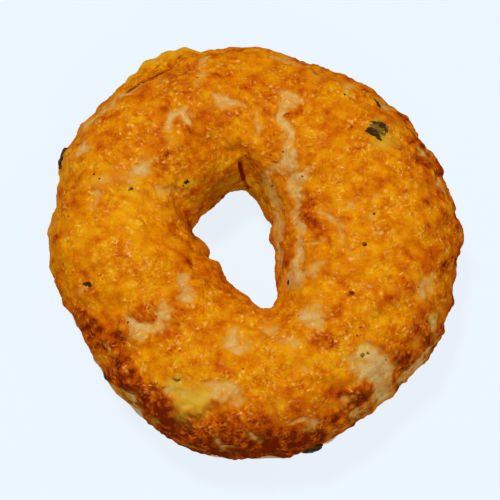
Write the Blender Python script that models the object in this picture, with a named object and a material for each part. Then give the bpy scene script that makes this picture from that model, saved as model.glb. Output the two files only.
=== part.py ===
# Jalapeno cheddar bagel: one baked ring of dough under a skin of melted cheddar. Bits of
# jalapeno are baked into it, and a tongue of the cheese ran out over its upper left rim.
#
# The ring lies on its flat base at Z = 0, with its width and depth centred on the Z axis. Seen
# from above, +X is three o'clock and +Y is twelve o'clock. Lengths are in metres.

import itertools
import math

import bmesh
import bpy
import numpy as np
from mathutils import Matrix, Vector

MM = 0.001

# The ring. Radii are given at each half hour of the clock, from three o'clock anticlockwise,
# and crown heights at each hour. The hole's radii run from its own centre.
RIM_RADII = np.array([53.9, 54.5, 53.7, 53.8, 54.0, 53.1, 54.4, 55.8, 56.1, 57.2, 57.2, 54.4,
                      54.5, 52.6, 51.0, 52.4, 54.0, 56.5, 55.4, 54.5, 53.5, 52.5, 54.4, 53.7]) * MM
HOLE_RADII = np.array([8.9, 8.7, 10.3, 10.6, 12.1, 14.3, 15.4, 15.5, 13.9, 13.9, 14.6, 14.2,
                       12.1, 10.0, 10.0, 9.0, 9.9, 12.1, 14.0, 19.9, 19.2, 12.9, 10.7, 10.0]) * MM
CROWN_HEIGHTS = np.array([36.0, 35.4, 34.6, 33.8, 34.8, 35.4,
                          35.8, 35.2, 34.8, 35.6, 36.4, 36.6]) * MM
HOLE_CENTRE = np.array([-3.4, 1.7]) * MM
BELT_HEIGHT = 15.5 * MM
BASE_SINK = 1.15
UPPER_ROUNDNESS = 0.94
LOWER_ROUNDNESS = 0.86

# How finely the ring is faceted, round the ring and round its section
RING_STEPS = 104
SECTION_STEPS = 42
SLIVER = 0.03 * MM

# Relief of the baked surface
LUMP_SIZE = 15 * MM
LUMP_HEIGHT = 1.6 * MM
KNOB_SIZE = 5.5 * MM
KNOB_HEIGHT = 1.2 * MM
CHEDDAR_THICKNESS = 0.6 * MM
CHEDDAR_EDGE_HEIGHT = 12 * MM
BASE_FADE = 5 * MM

# Bare spots where the cheese drew back from the dough: x, y, z of the middle, length, width, in
# millimetres, and the turn from three o'clock in degrees
BARE_SPOTS = [
    (9.5, 36.5, 34, 6.0, 4.5, -20), (7.2, 30.5, 34, 7.5, 3.5, 85), (9.4, 23.5, 34, 9.0, 3.5, -72),
    (6.0, 20.0, 31, 7.0, 4.5, 0), (12.5, 15.4, 33, 5.0, 4.0, 0), (9.7, 12.8, 31, 8.0, 4.5, -80),
    (11.4, 4.0, 30, 9.0, 3.0, -85), (10.4, -8.5, 30, 9.0, 3.5, 80),
    (-29.9, 16.8, 36, 6.5, 4.0, 45), (-7.3, 35.9, 34, 7.0, 3.5, 0), (-28.0, -24.5, 34, 9.0, 3.5, 10),
    (-18.5, -14.0, 35, 7.0, 3.5, 60), (-4.8, -29.0, 35, 7.0, 4.0, 0), (-16.1, -43.0, 33, 9.0, 6.5, 0),
    (-7.0, -40.7, 35, 6.0, 4.0, 0), (15.0, -22.5, 36, 6.0, 6.0, 0), (44.0, -12.5, 32, 5.5, 5.0, 30),
    (29.0, -33.5, 34, 10.0, 6.0, -20), (31.4, -38.0, 28, 5.5, 4.5, 90),
]

# Folds in the dough, each a groove from one point to another in plan, in millimetres: where the
# rope's ends were pressed together over the hole, and the pinch to the left of it. They run out
# down the hole's wall.
FOLDS = [
    {"start": (-4.4, 23.0), "end": (1.4, 11.4), "width": 2.1, "depth": 2.3},
    {"start": (-20.5, 11.5), "end": (-15.5, 3.5), "width": 2.0, "depth": 1.4},
]
FOLD_FOOT = 17 * MM
FOLD_FADE = 5 * MM

# Blisters of cheese that break the outline: x, y, z, radius and height in millimetres
BLISTERS = [
    (-54.5, 3.4, 20, 3.2, 1.2), (48.5, 21.5, 22, 3.4, 1.2), (54.0, 3.6, 21, 3.0, 1.2),
    (-1.5, 54.5, 20, 4.0, 0.9), (33.0, 43.0, 20, 3.6, 0.9),
]

# Bits of jalapeno, lying flat in the surface: x, y, z, length, width, in millimetres, and turn
JALAPENO_THICKNESS = 1.8 * MM
JALAPENO_BITS = {
    "rim_left": (-51.5, 24.6, 19, 6.6, 4.0, 65),
    "crown_right": (31.2, 28.8, 33.6, 6.0, 4.4, -35),
    "sliver_right": (32.4, 36.5, 29.3, 3.4, 1.8, -65),
    "rim_bottom": (14.3, -54.6, 18, 6.2, 4.0, 12),
    "sliver_left": (-43.5, -12.5, 31.9, 4.8, 1.8, -5),
    "dot_top": (-17.9, 14.9, 30.8, 2.2, 1.8, 20),
    "sliver_low": (-20.1, -37.6, 33.9, 3.6, 1.6, 10),
    "side_low": (-38.7, -34.6, 20.7, 3.2, 2.2, -50),
}

# The tongue of cheese over the rim, from its left end to its right end
TONGUE_ANGLES = (math.radians(129), math.radians(104))
TONGUE_REACH = 2.2 * MM
TONGUE_ROOT = 5.0 * MM
TONGUE_THICKNESS = 2.4 * MM
TONGUE_HEIGHTS = (24 * MM, 26 * MM)
TONGUE_DROOP = math.radians(22)
TONGUE_WAVES = 4
TONGUE_WAVE_HEIGHT = 0.5 * MM

CRUST_COLOUR = (0.60, 0.19, 0.008, 1)
CRUST_ROUGHNESS = 0.42


def around(clock_values, angle):
    """A smooth closed curve through values spaced evenly round the clock."""
    place = angle / math.tau * len(clock_values)
    mark = np.floor(place).astype(int)
    part = place - mark
    before, start, end, after = (clock_values[(mark + k) % len(clock_values)] for k in (-1, 0, 1, 2))
    bend = 2 * before - 5 * start + 4 * end - after
    twist = 3 * start - before - 3 * end + after
    return start + 0.5 * part * (end - before + part * (bend + part * twist))


def ease(low, high, values):
    """0 below low, 1 above high, and a smooth step between."""
    part = np.clip((values - low) / (high - low), 0, 1)
    return part * part * (3 - 2 * part)


def rounded(wave, power):
    """A sine or cosine drawn fuller, which squares a circle a little."""
    return np.sign(wave) * np.abs(wave) ** power


def noise(points, size, seed):
    """Smooth random values, from about -0.7 to 0.7, that change over the given size."""
    spot = points / size
    cell = np.floor(spot)
    inside = spot - cell
    weight = inside * inside * (3 - 2 * inside)
    total = np.zeros(len(points))
    for corner in itertools.product((0, 1), repeat=3):
        key = (cell + corner) @ (127.1, 311.7, 74.7) + 17.3 * seed
        slope = np.stack([np.modf(np.sin(key + 5.1 * k) * 43758.5453)[0] for k in range(3)], axis=1)
        share = np.prod(np.where(corner, weight, 1 - weight), axis=1)
        total += share * np.sum(slope * (inside - corner), axis=1)
    return total


def ring_form(angle, turn):
    """Points of the bare ring. Angle goes round the ring, and turn round its section from the
    rim over the crown."""
    way = np.stack([np.cos(angle), np.sin(angle)], axis=1)
    rim = around(RIM_RADII, angle)[:, None] * way
    hole = HOLE_CENTRE + around(HOLE_RADII, angle)[:, None] * way
    upper = np.sin(turn) >= 0
    power = np.where(upper, UPPER_ROUNDNESS, LOWER_ROUNDNESS)
    across = 0.5 + 0.5 * rounded(np.cos(turn), power)[:, None]
    rise = rounded(np.sin(turn), power)
    crown = around(CROWN_HEIGHTS, angle)
    height = BELT_HEIGHT + rise * np.where(upper, crown - BELT_HEIGHT, BASE_SINK * BELT_HEIGHT)
    return np.column_stack([hole + (rim - hole) * across, np.maximum(height, 0)])


def bareness(points):
    """1 in the bare spots, 0 under the cheese, with an uneven edge between."""
    reach = np.full(len(points), np.inf)
    for x, y, z, length, width, turn in BARE_SPOTS:
        away = points - np.array([x, y, z]) * MM
        c, s = math.cos(math.radians(turn)), math.sin(math.radians(turn))
        along = (away[:, 0] * c + away[:, 1] * s) / (0.5 * length * MM)
        aside = (away[:, 1] * c - away[:, 0] * s) / (0.5 * width * MM)
        deep = away[:, 2] / (0.5 * length * MM)
        reach = np.minimum(reach, np.sqrt(along**2 + aside**2 + deep**2))
    return 1 - ease(0.7, 1.3, reach + 0.5 * noise(points, 3 * MM, 4))


def fold_depth(points):
    """How deep each point lies in a fold."""
    depth = np.zeros(len(points))
    for fold in FOLDS:
        start, end = (np.array(fold[key]) * MM for key in ("start", "end"))
        run = end - start
        part = np.clip((points[:, :2] - start) @ run / (run @ run), 0, 1)
        away = np.linalg.norm(points[:, :2] - start - part[:, None] * run, axis=1)
        depth += fold["depth"] * MM * np.exp(-((away / (fold["width"] * MM)) ** 2))
    return depth * ease(FOLD_FOOT, FOLD_FOOT + FOLD_FADE, points[:, 2])


def blister_height(points):
    """How far the blisters on the rim stand out."""
    height = np.zeros(len(points))
    for x, y, z, radius, rise in BLISTERS:
        away = np.linalg.norm(points - np.array([x, y, z]) * MM, axis=1) / (radius * MM)
        height += rise * MM * np.exp(-(away**2))
    return height


def relief(points):
    """How far the baked surface stands out from the bare ring."""
    lumps = LUMP_HEIGHT * noise(points, LUMP_SIZE, 1)
    knobs = KNOB_HEIGHT * noise(points, KNOB_SIZE, 2)
    edge = CHEDDAR_EDGE_HEIGHT * (1 + 0.5 * noise(points, LUMP_SIZE, 3))
    covered = ease(edge - MM, edge + MM, points[:, 2]) * (1 - bareness(points))
    surface = lumps + knobs + CHEDDAR_THICKNESS * covered + blister_height(points) - fold_depth(points)
    return ease(0, BASE_FADE, points[:, 2]) * surface


def points_of(mesh):
    points = np.empty(3 * len(mesh.vertices))
    mesh.vertices.foreach_get("co", points)
    return points.reshape(-1, 3)


def move_points(mesh, points):
    mesh.vertices.foreach_set("co", points.ravel())
    mesh.update()


def make_ring():
    """A torus whose points are moved onto the bagel's form, and then out by its relief."""
    tube_centre = 2.0
    bpy.ops.mesh.primitive_torus_add(
        major_segments=RING_STEPS, minor_segments=SECTION_STEPS, major_radius=tube_centre, minor_radius=1
    )
    ring = bpy.context.object
    ring.name = ring.data.name = "bagel"
    x, y, z = points_of(ring.data).T
    form = ring_form(np.arctan2(y, x), np.arctan2(z, np.hypot(x, y) - tube_centre))
    move_points(ring.data, form)
    normals = np.empty(3 * len(form))
    ring.data.vertex_normals.foreach_get("vector", normals)
    form += relief(form)[:, None] * normals.reshape(-1, 3)
    move_points(ring.data, form)
    return ring


def make_tongue():
    """A sphere drawn out along the rim: a flat drooping tongue with a wavy edge."""
    bpy.ops.mesh.primitive_uv_sphere_add(segments=12, ring_count=20, radius=1)
    tongue = bpy.context.object
    tongue.name = "cheese_tongue"
    x, y, z = points_of(tongue.data).T
    part = np.arccos(np.clip(z, -1, 1)) / math.pi
    swell = np.sin(math.pi * part) ** 0.6
    turn = np.arctan2(y, x)
    angle = TONGUE_ANGLES[0] + part * (TONGUE_ANGLES[1] - TONGUE_ANGLES[0])
    half_width = 0.5 * (TONGUE_REACH + TONGUE_ROOT)
    wave = TONGUE_WAVE_HEIGHT * np.sin(math.tau * TONGUE_WAVES * part)
    out = half_width * swell * np.cos(turn) + np.where(np.cos(turn) > 0, wave * swell, 0)
    up = 0.5 * TONGUE_THICKNESS * swell * np.sin(turn)
    radius = around(RIM_RADII, angle) + TONGUE_REACH - half_width
    radius += out * math.cos(TONGUE_DROOP) + up * math.sin(TONGUE_DROOP)
    height = TONGUE_HEIGHTS[0] + ease(0.3, 1, part) * (TONGUE_HEIGHTS[1] - TONGUE_HEIGHTS[0])
    height += up * math.cos(TONGUE_DROOP) - out * math.sin(TONGUE_DROOP)
    move_points(tongue.data, np.column_stack([radius * np.cos(angle), radius * np.sin(angle), height]))
    return tongue


def make_jalapeno(ring, name, x, y, z, length, width, turn):
    """A flattened, uneven ball that lies in the ring's surface at the point nearest the one given."""
    bpy.ops.mesh.primitive_ico_sphere_add(subdivisions=2, radius=1)
    bit = bpy.context.object
    bit.name = "jalapeno_" + name
    found, spot, normal, _ = ring.closest_point_on_mesh(Vector((x, y, z)) * MM)
    points = points_of(bit.data)
    points *= 1 + 0.5 * noise(points + 10 * x, 0.9, 5)[:, None]
    move_points(bit.data, points * 0.5 * np.array([length * MM, width * MM, JALAPENO_THICKNESS]))
    along = Vector((math.cos(math.radians(turn)), math.sin(math.radians(turn)), 0))
    along = (along - along.dot(normal) * normal).normalized()
    axes = Matrix([along, normal.cross(along), normal]).transposed()
    bit.matrix_world = Matrix.Translation(spot) @ axes.to_4x4()
    return bit


def fuse(ring, toppings):
    """Joins the toppings to the ring, as one solid."""
    collection = bpy.data.collections.new("toppings")
    bpy.context.scene.collection.children.link(collection)
    for piece in toppings:
        for holder in list(piece.users_collection):
            holder.objects.unlink(piece)
        collection.objects.link(piece)
    union = ring.modifiers.new("toppings", "BOOLEAN")
    union.operation = "UNION"
    union.operand_type = "COLLECTION"
    union.collection = collection
    union.solver = "EXACT"
    bpy.context.view_layer.objects.active = ring
    bpy.ops.object.modifier_apply(modifier=union.name)
    for piece in toppings:
        bpy.data.objects.remove(piece)
    bpy.data.collections.remove(collection)


def clean(mesh):
    """Cuts the faces into triangles, and merges the slivers that joining left."""
    form = bmesh.new()
    form.from_mesh(mesh)
    bmesh.ops.remove_doubles(form, verts=form.verts, dist=SLIVER)
    bmesh.ops.triangulate(form, faces=form.faces)
    bmesh.ops.dissolve_degenerate(form, edges=form.edges, dist=SLIVER)
    bmesh.ops.triangulate(form, faces=form.faces)
    form.to_mesh(mesh)
    form.free()


def centre_on_base(ring):
    """Puts the middle of the ring's box over the origin, with its base at Z = 0."""
    points = points_of(ring.data)
    low, high = points.min(axis=0), points.max(axis=0)
    middle = (low + high) / 2
    move_points(ring.data, points - np.array([middle[0], middle[1], low[2]]))


def crust_material():
    material = bpy.data.materials.new("toasted_cheddar_crust")
    material.use_nodes = True
    shader = material.node_tree.nodes["Principled BSDF"]
    shader.inputs["Base Color"].default_value = CRUST_COLOUR
    shader.inputs["Roughness"].default_value = CRUST_ROUGHNESS
    shader.inputs["Metallic"].default_value = 0
    return material


def build():
    for old in list(bpy.data.objects):
        bpy.data.objects.remove(old)
    ring = make_ring()
    toppings = [make_tongue()]
    toppings += [make_jalapeno(ring, name, *bit) for name, bit in JALAPENO_BITS.items()]
    fuse(ring, toppings)
    clean(ring.data)
    centre_on_base(ring)
    ring.data.materials.clear()
    ring.data.materials.append(crust_material())
    ring.data.shade_smooth()
    bagel = bpy.data.collections.new("jalapeno_cheddar_bagel")
    bpy.context.scene.collection.children.link(bagel)
    for holder in list(ring.users_collection):
        holder.objects.unlink(ring)
    bagel.objects.link(ring)


build()
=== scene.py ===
import itertools
import math

import bpy
import numpy as np
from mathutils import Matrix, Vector
from mathutils.bvhtree import BVHTree


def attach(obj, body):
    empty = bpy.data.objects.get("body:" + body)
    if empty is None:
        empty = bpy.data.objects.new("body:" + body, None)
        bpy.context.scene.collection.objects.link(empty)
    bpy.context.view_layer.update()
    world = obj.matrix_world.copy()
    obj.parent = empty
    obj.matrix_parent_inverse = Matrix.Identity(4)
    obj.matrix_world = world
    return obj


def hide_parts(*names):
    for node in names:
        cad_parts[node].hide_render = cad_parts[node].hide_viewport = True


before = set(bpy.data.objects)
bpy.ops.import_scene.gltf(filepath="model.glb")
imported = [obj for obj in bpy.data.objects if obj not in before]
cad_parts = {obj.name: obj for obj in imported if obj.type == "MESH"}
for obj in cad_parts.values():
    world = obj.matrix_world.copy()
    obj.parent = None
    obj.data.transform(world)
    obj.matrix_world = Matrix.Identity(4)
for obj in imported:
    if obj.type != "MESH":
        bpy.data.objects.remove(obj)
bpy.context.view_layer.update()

# Looks of a jalapeno cheddar bagel. Seen from above, +X is three o'clock and +Y is twelve.
# Lengths are in metres. Tables of places are in millimetres and say so.
mm = 0.001
node = "bagel"

# The ring of dough: radii at each half hour anticlockwise from three o'clock, and crown heights
# at each hour. The hole's radii run from its own centre.
ring = {
    "rimRadii": np.array([53.9, 54.5, 53.7, 53.8, 54.0, 53.1, 54.4, 55.8, 56.1, 57.2, 57.2, 54.4,
                          54.5, 52.6, 51.0, 52.4, 54.0, 56.5, 55.4, 54.5, 53.5, 52.5, 54.4, 53.7]) * mm,
    "holeRadii": np.array([8.9, 8.7, 10.3, 10.6, 12.1, 14.3, 15.4, 15.5, 13.9, 13.9, 14.6, 14.2,
                           12.1, 10.0, 10.0, 9.0, 9.9, 12.1, 14.0, 19.9, 19.2, 12.9, 10.7, 10.0]) * mm,
    "crownHeights": np.array([36.0, 35.4, 34.6, 33.8, 34.8, 35.4,
                              35.8, 35.2, 34.8, 35.6, 36.4, 36.6]) * mm,
    "holeCentre": np.array([-3.4, 1.7]) * mm,
    "beltHeight": 15.5 * mm,
    "baseSink": 1.15,
    "upperRoundness": 0.94,
    "lowerRoundness": 0.86,
    "middle": np.array([0.373, -0.416, 0]) * mm,   # of the ring's box, over which the solid stands
}

# Relief of the baked surface, the same in the dough and in the cheese over it
bake = {
    "lumpSize": 15 * mm,
    "lumpHeight": 1.6 * mm,
    "knobSize": 5.5 * mm,
    "knobHeight": 1.2 * mm,
    "baseFade": 5 * mm,
    "foldFoot": 17 * mm,
    "foldFade": 5 * mm,
    "folds": [                         # plan, in millimetres
        {"path": [(-4.4, 23.0), (1.4, 11.4)], "width": 2.1, "depth": 2.3},
        {"path": [(-20.5, 11.5), (-15.5, 3.5)], "width": 2.0, "depth": 1.4},
    ],
    "rimBlisters": [                   # x, y, z, radius, rise, in millimetres
        (-54.5, 3.4, 20, 3.2, 1.2), (48.5, 21.5, 22, 3.4, 1.2), (54.0, 3.6, 21, 3.0, 1.2),
        (-1.5, 54.5, 20, 4.0, 0.9), (33.0, 43.0, 20, 3.6, 0.9),
    ],
}


# Shapes as functions of two parameters

def around(clockValues, angle):
    # a smooth closed curve through values spaced evenly round the clock (Catmull-Rom)
    place = angle / math.tau * len(clockValues)
    mark = np.floor(place).astype(int)
    part = place - mark
    before, start, end, after = (clockValues[(mark + k) % len(clockValues)] for k in (-1, 0, 1, 2))
    bend = 2 * before - 5 * start + 4 * end - after
    twist = 3 * start - before - 3 * end + after
    return start + 0.5 * part * (end - before + part * (bend + part * twist))


def ease(low, high, values):
    # 0 below low, 1 above high, a smooth step between
    part = np.clip((values - low) / (high - low), 0, 1)
    return part * part * (3 - 2 * part)


def rounded(wave, power):
    # a sine or cosine drawn fuller, which squares a circle a little
    return np.sign(wave) * np.abs(wave) ** power


def noise(points, size, seed):
    # gradient noise: each cell corner pulls along its own random slope, blended smoothly
    spot = points / size
    cell = np.floor(spot)
    inside = spot - cell
    weight = inside * inside * (3 - 2 * inside)
    total = np.zeros(len(points))
    for corner in itertools.product((0, 1), repeat=3):
        key = (cell + corner) @ (127.1, 311.7, 74.7) + 17.3 * seed
        slope = np.stack([np.modf(np.sin(key + 5.1 * k) * 43758.5453)[0] for k in range(3)], axis=1)
        share = np.prod(np.where(corner, weight, 1 - weight), axis=1)
        total += share * np.sum(slope * (inside - corner), axis=1)
    return total


def layered(points, layers):
    # the sum of several noises, each given by its strength, size and seed
    return sum(strength * noise(points, size, seed) for strength, size, seed in layers)


def chance(cell, seed):
    # an even random number from 0 to 1 for each cell
    key = cell @ (269.5, 183.3, 246.1) + 11.9 * seed
    return np.abs(np.modf(np.sin(key) * 24634.6345)[0])


def domes(points, size, share, seed):
    # one round blister in that share of the cells, each with its own middle and radius, whose height
    # falls smoothly from its middle to its edge
    cell = np.floor(points / size)
    height = np.zeros(len(points))
    for step in itertools.product((-1, 0, 1), repeat=3):
        near = cell + step
        middle = near + 0.2 + 0.6 * np.stack([chance(near, seed + k) for k in (1, 2, 3)], axis=1)
        radius = 0.35 + 0.4 * chance(near, seed + 4)
        away = np.linalg.norm(points / size - middle, axis=1) / radius
        here = chance(near, seed + 5) < share
        height = np.maximum(height, here * radius * np.clip(1 - away**2, 0, 1) ** 1.6)
    return height


def warped(points, size, reach, seed):
    # points pushed about by three noises, so that round marks become ragged
    push = np.stack([noise(points, size, seed + k) for k in range(3)], axis=1)
    return points + reach * push


def spotted(points, spots):
    # the sum of a list of oval bells, each down to 0.6 at its oval's edge, so that near ones run together
    total = np.zeros(len(points))
    for x, y, z, length, width, turn, strength in spots:
        away = points - np.array([x, y, z]) * mm
        c, s = math.cos(math.radians(turn)), math.sin(math.radians(turn))
        along = (away[:, 0] * c + away[:, 1] * s) / (0.5 * length * mm)
        aside = (away[:, 1] * c - away[:, 0] * s) / (0.5 * width * mm)
        deep = away[:, 2] / ((0.5 * length + 2) * mm)
        total += strength * np.exp(-0.5 * (along**2 + aside**2 + deep**2))
    return total


def alongPath(points, path, width):
    # 1 on a path given in plan, in millimetres, falling off as a bell on both sides
    nearest = np.full(len(points), np.inf)
    for start, end in zip(path[:-1], path[1:]):
        start, run = np.array(start) * mm, (np.array(end) - np.array(start)) * mm
        part = np.clip((points[:, :2] - start) @ run / (run @ run), 0, 1)
        nearest = np.minimum(nearest, np.linalg.norm(points[:, :2] - start - part[:, None] * run, axis=1))
    return np.exp(-((nearest / (width * mm)) ** 2))


def ringForm(angle, turn):
    # the hole's edge and the rim joined by half a squashed ellipse: across goes from hole to rim with
    # the cosine of the turn, height goes up and down from the belt with its sine, cut flat at the base
    way = np.stack([np.cos(angle), np.sin(angle)], axis=1)
    rim = around(ring["rimRadii"], angle)[:, None] * way
    hole = ring["holeCentre"] + around(ring["holeRadii"], angle)[:, None] * way
    upper = np.sin(turn) >= 0
    power = np.where(upper, ring["upperRoundness"], ring["lowerRoundness"])
    across = 0.5 + 0.5 * rounded(np.cos(turn), power)[:, None]
    rise = rounded(np.sin(turn), power)
    crown = around(ring["crownHeights"], angle)
    belt = ring["beltHeight"]
    height = belt + rise * np.where(upper, crown - belt, ring["baseSink"] * belt)
    return np.column_stack([hole + (rim - hole) * across, np.maximum(height, 0)])


def bakedRelief(points):
    # lumps and knobs of noise, plus the rim's blisters, less the folds, fading out at the base
    surface = bake["lumpHeight"] * noise(points, bake["lumpSize"], 1)
    surface += bake["knobHeight"] * noise(points, bake["knobSize"], 2)
    for x, y, z, radius, rise in bake["rimBlisters"]:
        away = np.linalg.norm(points - np.array([x, y, z]) * mm, axis=1) / (radius * mm)
        surface += rise * mm * np.exp(-(away**2))
    foldShare = ease(bake["foldFoot"], bake["foldFoot"] + bake["foldFade"], points[:, 2])
    for fold in bake["folds"]:
        surface -= fold["depth"] * mm * alongPath(points, fold["path"], fold["width"]) * foldShare
    return ease(0, bake["baseFade"], points[:, 2]) * surface


def gridNormals(grid, closed):
    # the cross product of the steps round the ring and across its section, made one long
    along = np.roll(grid, -1, axis=0) - np.roll(grid, 1, axis=0)
    across = np.roll(grid, -1, axis=1) - np.roll(grid, 1, axis=1) if closed else np.gradient(grid, axis=1)
    normals = np.cross(along, across)
    length = np.linalg.norm(normals, axis=2, keepdims=True)
    return normals / np.maximum(length, 1e-12)


def bakedSurface(turns, columns, closed):
    # the ring's form pushed out along its normals by the baked relief, on a grid of angle by turn
    angle, turn = np.meshgrid(np.arange(columns) / columns * math.tau, turns, indexing="ij")
    form = ringForm(angle.ravel(), turn.ravel())
    shape = (columns, len(turns), 3)
    normals = gridNormals(form.reshape(shape), closed).reshape(-1, 3)
    surface = form + bakedRelief(form)[:, None] * normals - ring["middle"]
    return surface, gridNormals(surface.reshape(shape), closed).reshape(-1, 3), angle.ravel()


def evenTurns(low, high, count):
    # turns spaced evenly along the section's outline where the ring has its middling width
    fine = np.linspace(low, high, 2000)
    section = ringForm(np.full_like(fine, math.pi), fine)
    run = np.concatenate([[0], np.cumsum(np.linalg.norm(np.diff(section, axis=0), axis=1))])
    return np.interp(np.linspace(0, run[-1], count), run, fine)


# Meshes

def newObject(name, data):
    # an object in the scene that shows this mesh, lamp or camera
    made = bpy.data.objects.new(name, data)
    bpy.context.scene.collection.objects.link(made)
    return made


def meshPiece(name, points, faces, marks=None):
    # a smooth shaded mesh of these points and faces, with a value at each point for every mark
    mesh = bpy.data.meshes.new(name)
    mesh.from_pydata(points.tolist(), [], faces if isinstance(faces, list) else faces.tolist())
    for mark, values in (marks or {}).items():
        mesh.attributes.new(mark, "FLOAT", "POINT").data.foreach_set("value", values.astype(np.float32))
    mesh.shade_smooth()
    mesh.update()
    return newObject(name, mesh)


def ringFaces(columns, rows):
    # each point joined to its neighbours round the ring and round its section, both ways closed
    column, row = np.meshgrid(np.arange(columns), np.arange(rows), indexing="ij")
    nextColumn, nextRow = (column + 1) % columns, (row + 1) % rows
    corners = [(column, row), (nextColumn, row), (nextColumn, nextRow), (column, nextRow)]
    return np.stack([(c * rows + r).ravel() for c, r in corners], axis=1)


def ballFaces(columns, rows):
    # a ball's grid: rings of columns from pole to pole, with the two poles as the last two points
    column, row = np.meshgrid(np.arange(columns), np.arange(rows - 1), indexing="ij")
    nextColumn = (column + 1) % columns
    corners = [(row, column), (row + 1, column), (row + 1, nextColumn), (row, nextColumn)]
    quads = np.stack([(r * columns + c).ravel() for r, c in corners], axis=1).tolist()
    first, last = columns * rows, columns * rows + 1
    top = [[first, k, (k + 1) % columns] for k in range(columns)]
    foot = (rows - 1) * columns
    bottom = [[last, foot + (k + 1) % columns, foot + k] for k in range(columns)]
    return quads + top + bottom


def ballGrid(columns, rows):
    # angles of a ball's points: turn round its axis, and fall from its first pole to its last
    fall = (np.arange(rows) + 1) / (rows + 1) * math.pi
    turn = np.arange(columns) / columns * math.tau
    fall, turn = np.meshgrid(fall, turn, indexing="ij")
    return np.append(turn.ravel(), [0, 0]), np.append(fall.ravel(), [0, math.pi])


def ballsPiece(name, balls, grid, marks):
    # many balls of the same grid as one piece: the faces of each are the first one's, counted on
    faces = ballFaces(grid["columns"], grid["rows"])
    starts = [number * len(balls[0]) for number in range(len(balls))]
    counted = [[start + k for k in face] for start in starts for face in faces]
    return meshPiece(name, np.concatenate(balls), counted, marks)


# Where things lie on the crown, seen from above: x, y, z, length, width in millimetres, the turn
# from three o'clock in degrees, and how strong the mark is from 0 to 1

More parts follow.
